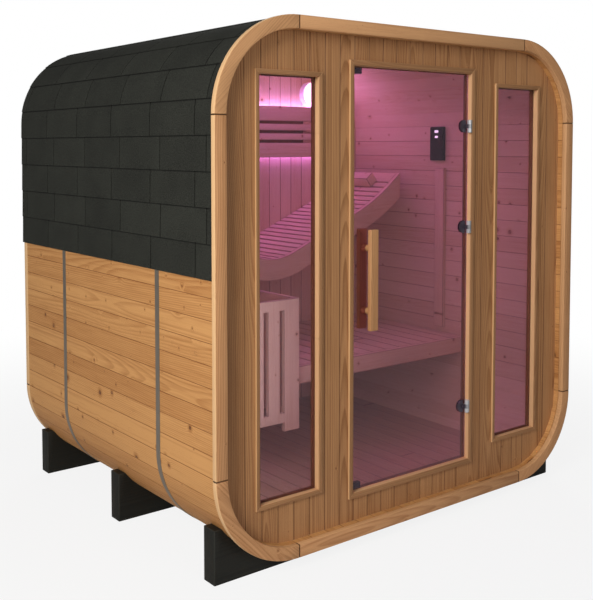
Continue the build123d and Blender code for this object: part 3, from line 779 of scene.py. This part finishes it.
def buildShingleTree():
    tree, given, result = newGroup(
        "shingleCoat", "GeometryNodeTree",
        {"Geometry": shapeKind, "Courses": wholeKind, "Tabs": wholeKind,
         **dict.fromkeys(shingleSizes, numberKind), "Eave": numberKind, "Seat": numberKind,
         "Tangent": numberKind, "Tangent Height": numberKind, "Path End": numberKind,
         "Span": vectorKind, "Finish": finishKind},
        {"Geometry": shapeKind})
    fit = shingleFit
    index = shapeNode(tree, "InputIndex")
    tabWidth = minus(tree, given["Tab Pitch"], given["Slot"])
    tab = sheetOf(tree, join3(tree, given["Tab Length"], tabWidth, given["Thickness"]), fit["tabSteps"])
    # place along the tab, in exposures, which the felt finish uses for its painted shadow
    lap = timesPlus(tree, given["Tab Length"], 0.5, pointPlace(tree)[0])
    lap = calc(tree, "DIVIDE", lap, given["Exposure"])
    tab = shapeNode(tree, "StoreNamedAttribute", {"Geometry": tab, "Name": "lap", "Value": lap},
                    data_type="FLOAT", domain="POINT")

    # one grid of points: the courses up the roof, the tabs along it
    points = pointLine(tree, times(tree, given["Courses"], given["Tabs"]))
    course = calc(tree, "FLOOR", calc(tree, "DIVIDE", calc(tree, "ADD", index, 0.5), given["Tabs"]))
    along = minus(tree, index, times(tree, course, given["Tabs"]))
    odd = calc(tree, "MODULO", course, 2.0)
    up = timesPlus(tree, course, given["Exposure"], times(tree, given["Tab Length"], 0.5))
    start = minus(tree, given["Tab Start"], times(tree, odd, given["Stagger"]))
    depth = timesPlus(tree, calc(tree, "ADD", along, 0.5), given["Tab Pitch"], start)
    seated = times(tree, given["Thickness"], fit["seatShare"])
    height = timesPlus(tree, given["Lift"], 0.5, seated)
    placed = shapeNode(tree, "SetPosition", {"Geometry": points, "Position": join3(tree, up, depth, height)})

    # tabs that lie wholly past an end are left out
    limits = split3(tree, given["Span"])
    spot = pointPlace(tree)[1]
    half = times(tree, tabWidth, fit["halfTab"])
    before = calc(tree, "LESS_THAN", calc(tree, "ADD", spot, half), limits[0])
    after = calc(tree, "GREATER_THAN", minus(tree, spot, half), limits[1])
    outside = calc(tree, "MAXIMUM", before, after)
    kept = shapeNode(tree, "DeleteGeometry", {"Geometry": placed, "Selection": outside}, domain="POINT")
    tabs = repeatOn(tree, kept, tab, calc(tree, "DIVIDE", given["Lift"], given["Tab Length"]))

    # the underlay, then both halves
    size = join3(tree, given["Path End"], fit["sheetDepth"], given["Underlay"])
    sheet = sheetOf(tree, size, fit["sheetSteps"])
    middle = join3(tree, times(tree, given["Path End"], 0.5), 0.0, given["Underlay"])
    sheet = shapeNode(tree, "Transform", {"Geometry": sheet, "Translation": middle})
    real = shapeNode(tree, "RealizeInstances", {"Geometry": joinShapes(tree, tabs, sheet)})
    left = wrapOnBarrel(tree, real, given)
    right = shapeNode(tree, "Transform", {"Geometry": left, "Scale": (-1.0, 1.0, 1.0)})
    right = shapeNode(tree, "FlipFaces", {"Mesh": right})
    both = joinShapes(tree, left, right)
    painted = shapeNode(tree, "SetMaterial", {"Geometry": both, "Material": given["Finish"]})
    feed(tree, result[0], painted)
    return tree


def ridgeCaps(top, span):
    parts = []
    count = round((span[1] - span[0]) / ridgeFit["pitch"])
    pitch = (span[1] - span[0]) / count
    half, thick = ridgeFit["width"] / 2, shingleSizes["Thickness"]
    for i in range(count):
        bm = bmesh.new()
        bmesh.ops.create_cube(bm, size=1.0)
        low, high = span[0] + i * pitch + ridgeFit["joint"], span[0] + (i + 1) * pitch - ridgeFit["joint"]
        for vert in bm.verts:
            height = top + (vert.co.z + 0.5) * thick
            vert.co = Vector((vert.co.x * 2 * half, low if vert.co.y < 0 else high, height))
        parts.append(easeEdges(bm, ridgeFit["edge"], segments=1))
    return parts


def makeShingles():
    low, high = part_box("roof_shingles")
    fit = shingleFit
    seat = shellHalf + fit["seatGap"]
    rise = centreZ + tangentX - low.z
    pathEnd = rise + (seat - tangentX) * quarterTurn + tangentX
    span = (low.y + fit["endGap"], high.y - fit["endGap"])
    courses = math.ceil((pathEnd - fit["lastCourse"]) / shingleSizes["Exposure"])
    mesh = growMesh("shingles", buildShingleTree(), {
        **shingleSizes, "Courses": courses, "Tabs": fit["tabs"], "Eave": low.z, "Seat": seat,
        "Tangent": tangentX, "Tangent Height": centreZ + tangentX, "Span": (span[0], span[1], 0.0),
        "Path End": pathEnd, "Finish": shingleFelt})
    settle("shingles", mesh, shingleFelt, "cabin", ["roof_shingles"], "y")
    caps = gather(ridgeCaps(centreZ + seat + ridgeFit["lift"], span), "ridgeCaps")
    settle("ridgeCaps", caps, shingleFelt, "cabin", [], "y")


makeShingles()
print("shingles laid")


# wall sheets cut into tongue and groove boards

boardCut = {"leastWidth": 0.012, "past": 0.01, "planeReach": 0.000001, "jointReach": 0.00002,
            "leastLength": 0.046}


def cutBoards(name, axis, pitch, phase, groove):
    direction = axisNames[axis]
    across = "xyz".index(axis)
    source = cadCopy(name)
    parts = []
    for cluster in looseBoards(source):
        ends = [vert.co[across] for vert in cluster]
        low, high = min(ends), max(ends)
        first = math.ceil((low + boardCut["leastWidth"] - phase) / pitch)
        last = math.floor((high - boardCut["leastWidth"] - phase) / pitch)
        joints = [phase + i * pitch for i in range(first, last + 1)]
        cuts = [low - boardCut["past"], *joints, high + boardCut["past"]]
        members = {vert.index for vert in cluster}

        def onJoint(edge):
            spots = [vert.co[across] for vert in edge.verts]
            return any(max(abs(spot - joint) for spot in spots) < boardCut["jointReach"] for joint in joints)
        for start, end in zip(cuts, cuts[1:]):
            bm = source.copy()
            others = [vert for vert in bm.verts if vert.index not in members]
            bmesh.ops.delete(bm, geom=others, context="VERTS")
            for place, upper in ((start, False), (end, True)):
                everything = bm.verts[:] + bm.edges[:] + bm.faces[:]
                bmesh.ops.bisect_plane(bm, geom=everything, plane_co=direction * place, plane_no=direction,
                                       clear_inner=not upper, clear_outer=upper, dist=boardCut["planeReach"])
                openEdges = [edge for edge in bm.edges if edge.is_boundary]
                if openEdges:
                    bmesh.ops.holes_fill(bm, edges=openEdges, sides=0)
            bmesh.ops.recalc_face_normals(bm, faces=bm.faces)
            jointEdges = [edge for edge in bm.edges if onJoint(edge)]
            jointEdges = [edge for edge in jointEdges if edge.calc_length() > boardCut["leastLength"]]
            if jointEdges:
                bevelEdges(bm, jointEdges, groove, segments=1)
            parts.append(bm)
    source.free()
    return parts


frontBoards = {"pitch": 0.078, "phase": -0.031, "groove": 0.0022,
               "nodes": ["front_wall_side_panels", "front_wall_posts", "front_wall_heads",
                         "front_wall_aprons"]}
backBoards = {"pitch": 0.078, "phase": 0.02, "groove": 0.002, "nodes": ["back_wall"], "roomSide": True}
floorBoards = {"pitch": 0.092, "phase": 0.01, "groove": 0.002, "nodes": ["floor"]}


def makeBoardWall(name, plan, finish, grain):
    parts = []
    for node in plan["nodes"]:
        parts += cutBoards(node, "x", plan["pitch"], plan["phase"], plan["groove"])
    if "roomSide" in plan:
        for bm in parts:
            _, inside = faceMarks(bm)
            for face in bm.faces:
                face[inside] = face.normal.y < sideways
    settle(name, gather(parts, name), finish, "cabin", plan["nodes"], grain)


makeBoardWall("frontBoards", frontBoards, woods["frontWood"], "z")
makeBoardWall("backBoards", backBoards, woods["backWood"], "z")
makeBoardWall("floorBoards", floorBoards, woods["floorWood"], "y")
print("walls and floor boarded")


# solids that keep their shape and get eased edges

easedSets = [
    # finish, slot, body, and for each node its edge width and grain
    (woods["ringWood"], "ring_wood", "cabin", {
        "front_ring_straights": (0.003, "long"), "front_ring_corners": (0.003, "corner"),
        "rear_ring_straights": (0.003, "long"), "rear_ring_corners": (0.003, "corner")}),
    (woods["frameWood"], "front_wood", "cabin", {
        "window_stiles": (0.0015, "z"), "window_rails": (0.0015, "x"),
        "door_jambs": (0.0015, "z"), "door_frame_rails": (0.0015, "x")}),
    (woods["trimWood"], "front_wood", "door", {
        "outer_handle": (0.002, "z"), "inner_handle": (0.002, "z")}),
    (woods["innerWood"], "inner_wood", "cabin", {
        "bench_rails": (0.002, "x"), "bench_slats": (0.002, "y"),
        "lounger_stringers": (0.002, "x"), "lounger_slats": (0.002, "y"), "headrest": (0.003, "y"),
        "light_screen_boards": (0.002, "x"), "light_screen_battens": (0.001, "z"),
        "heater_guard_front": (0.0015, "z"), "heater_guard_side": (0.0015, "z"),
        "cable_cover": (0.002, "z")}),
    (woods["blackTimber"], "black_timber", "cabin", {
        "front_cradle": (0.003, "x"), "middle_cradle": (0.003, "x"), "rear_cradle": (0.003, "x")}),
    (blackPlastic, "black_plastic", "cabin", {
        "door_catches": (0.003, None), "control_panel": (0.0015, None)}),
]
ringMarks = {"innerRim": 0.4, "jointReach": 0.003}


def markRing(bm, node):  # the rims are painted paler, the outer one most, in part as a painted highlight; the joints between the pieces are dark
    marks, dark = faceMarks(bm)
    for face in bm.faces:
        middle = face.calc_center_median()
        rim = abs(face.normal.y) < sideways
        outward = face.normal.dot(middle - barrelMiddle) > 0
        face[marks] = rim * (1.0 if outward else ringMarks["innerRim"])
        offJoint = min(abs(abs(middle.x) - tangentX), abs(abs(middle.z - centreZ) - tangentX))
        face[dark] = offJoint < ringMarks["jointReach"]


def markLining(bm, node):  # the linings are painted pale before the glass, a painted highlight, and take the shade wood behind it, a painted shade
    marks, dark = faceMarks(bm)
    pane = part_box("window_panes" if node.startswith("window") else "door_glass")[0].y
    for face in bm.faces:
        lining, behind = abs(face.normal.y) < sideways, face.calc_center_median().y > pane
        face[marks] = lining and not behind
        face[dark] = behind


markers = {"ringWood": markRing, "frameWood": markLining}


def pieceName(node):  # differs from the node's own name, also for one word
    first, *others = node.split("_")
    return first + "".join(word.capitalize() for word in others or ["bar"])


for finish, slot, body, edges in easedSets:
    for node, (width, grain) in edges.items():
        eased = easeEdges(cadCopy(node), width)
        if finish.name in markers:
            markers[finish.name](eased, node)
        name = pieceName(node)
        settle(name, gather([eased], name), finish, body, [node], grain)
print("edges eased:", sum(len(edges) for *_, edges in easedSets), "pieces")


# solids that stay as they are, with their own finish

keptFinishes = {"steel_bands": bandSteel, "window_panes": tintedGlass, "door_glass": tintedGlass,
                "hinge_leaves": hingeChrome, "hinge_clamps": clampChrome, "light_strips": stripGlow,
                "wall_lamp": lampGlow}
for node, finish in keptFinishes.items():
    for place in cadNodes[node].material_slots:
        place.material = finish


# two plain lit marks on the control panel

panelMarks = {"marks": ((0.026, 0.028, 0.014), (0.056, 0.022, 0.012)),  # drop from the top, width, height
              "thickness": 0.0012, "roundShare": 0.35, "roundSteps": 4}


def makePanelMarks():
    low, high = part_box("control_panel")
    thick = panelMarks["thickness"]
    parts = []
    for drop, wide, tall in panelMarks["marks"]:
        bm = bmesh.new()
        bmesh.ops.create_cube(bm, size=1.0)
        for vert in bm.verts:
            vert.co = Vector((low.x + (vert.co.x - 0.5) * thick,
                              (low.y + high.y) / 2 + vert.co.y * wide, high.z - drop + vert.co.z * tall))
        corners = [edge for edge in bm.edges if abs(edge.verts[0].co.x - edge.verts[1].co.x) > thick / 2]
        bmesh.ops.bevel(bm, geom=corners, offset=tall * panelMarks["roundShare"], offset_type="OFFSET",
                        segments=panelMarks["roundSteps"], profile=0.5, affect="EDGES")
        bmesh.ops.recalc_face_normals(bm, faces=bm.faces)
        parts.append(bm)
    settle("panelMarks", gather(parts, "panelMarks"), iconGlow, "cabin", [], None)


makePanelMarks()
print("fittings finished")


# camera at the photograph's place

cameraLook = {"place": (-2.8586, -3.6866, 1.6528), "yaw": 38.0, "tilt": 3.2, "focal": 930.8, "middle": 198.8,
              "height": 600, "sensor": 36.0, "farthest": 200}


def makeCamera():
    look = cameraLook
    data = bpy.data.cameras.new("photoCamera")
    data.sensor_width = look["sensor"]
    data.lens = look["focal"] / look["height"] * look["sensor"]
    data.shift_y = (look["middle"] - look["height"] / 2) / look["height"]
    data.clip_end = look["farthest"]
    camera = bpy.data.objects.new("photoCamera", data)
    scene.collection.objects.link(camera)
    yaw, tilt = math.radians(look["yaw"]), math.radians(look["tilt"])
    ahead = Vector((math.sin(yaw) * math.cos(tilt), math.cos(yaw) * math.cos(tilt), -math.sin(tilt)))
    camera.location = look["place"]
    camera.rotation_euler = ahead.to_track_quat("-Z", "Y").to_euler()
    scene.camera = camera


makeCamera()


# studio: pale floor, white surround for the eye, soft lamps

studio = {"middle": (0.0, 0.0, 1.0), "ambient": 0.15, "sky": (1.0, 0.99, 0.97, 1.0),
          "floorSize": 60.0, "floorSteps": 96, "fadeStart": 1.2, "fadeEnd": 4.5, "veil": 0.86}
floorLook = {"Base Color": (0.6, 0.6, 0.6, 1.0), "Roughness": 0.9, "Specular IOR Level": 0.0}


def seenRay(tree):  # 1 for what the eye sees, straight or through a pane
    path = put(tree, "LightPath").outputs
    return calc(tree, "MAXIMUM", path["Is Camera Ray"], path["Is Transmission Ray"])


def makeStudio():
    world = bpy.data.worlds.new("studio")
    world.use_nodes = True
    tree = world.node_tree
    tree.nodes.clear()
    lit = put(tree, "Background", {"Color": studio["sky"], "Strength": studio["ambient"]})
    seen = put(tree, "Background", {"Color": fullWhite, "Strength": 1.0})
    put(tree, "OutputWorld", {"Surface": mixShaders(tree, seenRay(tree), lit, seen)})
    scene.world = world

    material, tree, shader, output = newFinish("studioFloor", floorLook)
    fade = soft(tree, lengthOf(tree, objectPlace(tree)), studio["fadeStart"], studio["fadeEnd"])
    fade = timesPlus(tree, fade, 1.0 - studio["veil"], studio["veil"])
    seen = put(tree, "Emission", {"Color": fullWhite, "Strength": 1.0})
    factor = times(tree, fade, seenRay(tree))
    feed(tree, output.inputs["Surface"], mixShaders(tree, factor, shader, seen))
    mesh = bpy.data.meshes.new("studioFloor")
    bm = bmesh.new()
    bmesh.ops.create_circle(bm, cap_ends=True, segments=studio["floorSteps"], radius=studio["floorSize"])
    bm.to_mesh(mesh)
    bm.free()
    mesh.materials.append(material)
    floor = bpy.data.objects.new("studioFloor", mesh)
    scene.collection.objects.link(floor)


def areaLamp(name, place, watts, size, target=studio["middle"], colour=fullWhite[:3],
             tall=None, shines=False):
    data = bpy.data.lights.new(name, "AREA")
    data.energy = watts
    data.color = colour
    data.size = size
    if tall:
        data.shape = "RECTANGLE"
        data.size_y = tall
    lamp = bpy.data.objects.new(name, data)
    lamp.location = place
    lamp.rotation_euler = (Vector(target) - Vector(place)).to_track_quat("-Z", "Y").to_euler()
    scene.collection.objects.link(lamp)
    lamp.visible_camera = False
    lamp.visible_glossy = shines
    lamp.visible_transmission = False


violet, pink, rose, day = (0.62, 0.27, 1.08), (0.66, 0.43, 1.1), (0.72, 0.33, 1.0), (0.78, 0.95, 1.0)
plainLamps = {
    "keyLamp": {"place": (-7.3, -3.9, 4.4), "watts": 470.0, "size": 3.0, "colour": (1.0, 0.98, 0.95),
                "shines": True},
    "fillLamp": {"place": (-0.6, -9.0, 3.0), "watts": 118.0, "size": 4.0, "shines": True},
    "rearLamp": {"place": (5.5, 7.0, 4.0), "watts": 260.0, "size": 4.0, "shines": True},
    "sideLamp": {"place": (-2.2, -1.5, 1.35), "target": (-1.05, -0.75, 0.95), "watts": 4.4, "size": 0.8,
                 "colour": (1.0, 0.92, 0.8)},
    "ceilingGlow": {"place": (0.0, 0.1, 2.06), "target": (0.0, 0.1, 0.0), "watts": 4.8, "size": 1.2,
                    "tall": 0.8, "colour": violet}}
stripLamps = {"back": 0.015, "tall": 0.03, "upWatts": 6.5, "upTarget": 3.0,
              "downWatts": 2.4, "downTarget": 0.0}
wallLampGlow = {"gap": 0.01, "watts": 1.6, "target": (1.0, 0.3, 1.7)}
dayLamps = {
    "leftPaneDay": {"place": (-0.6, -0.72, 0.8), "target": (-0.6, 0.6, 0.8), "watts": 2.6, "size": 0.28,
                    "tall": 0.9, "colour": day},
    "doorDay": {"place": (0.05, -0.72, 1.55), "target": (0.2, 0.6, 1.45), "watts": 0.6, "size": 0.6,
                "tall": 0.7, "colour": day}}


def makeLamps():
    for name, lamp in plainLamps.items():
        areaLamp(name, **lamp)
    low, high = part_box("light_strips")
    strip, glow = stripLamps, wallLampGlow
    back, length = (low.y + high.y) / 2 - strip["back"], high.x - low.x
    areaLamp("stripUp", (0.0, back, high.z), strip["upWatts"], length, (0.0, back, strip["upTarget"]),
             pink, strip["tall"])
    areaLamp("stripDown", (0.0, back, low.z), strip["downWatts"], length, (0.0, back, strip["downTarget"]),
             violet, strip["tall"])
    low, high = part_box("wall_lamp")
    face = ((low.x + high.x) / 2, low.y - glow["gap"], (low.z + high.z) / 2)
    areaLamp("wallLampGlow", face, glow["watts"], high.x - low.x, glow["target"], rose)
    for name, lamp in dayLamps.items():
        areaLamp(name, **lamp)


makeStudio()
makeLamps()
scene.view_settings.view_transform = "Standard"
print("camera and studio set")
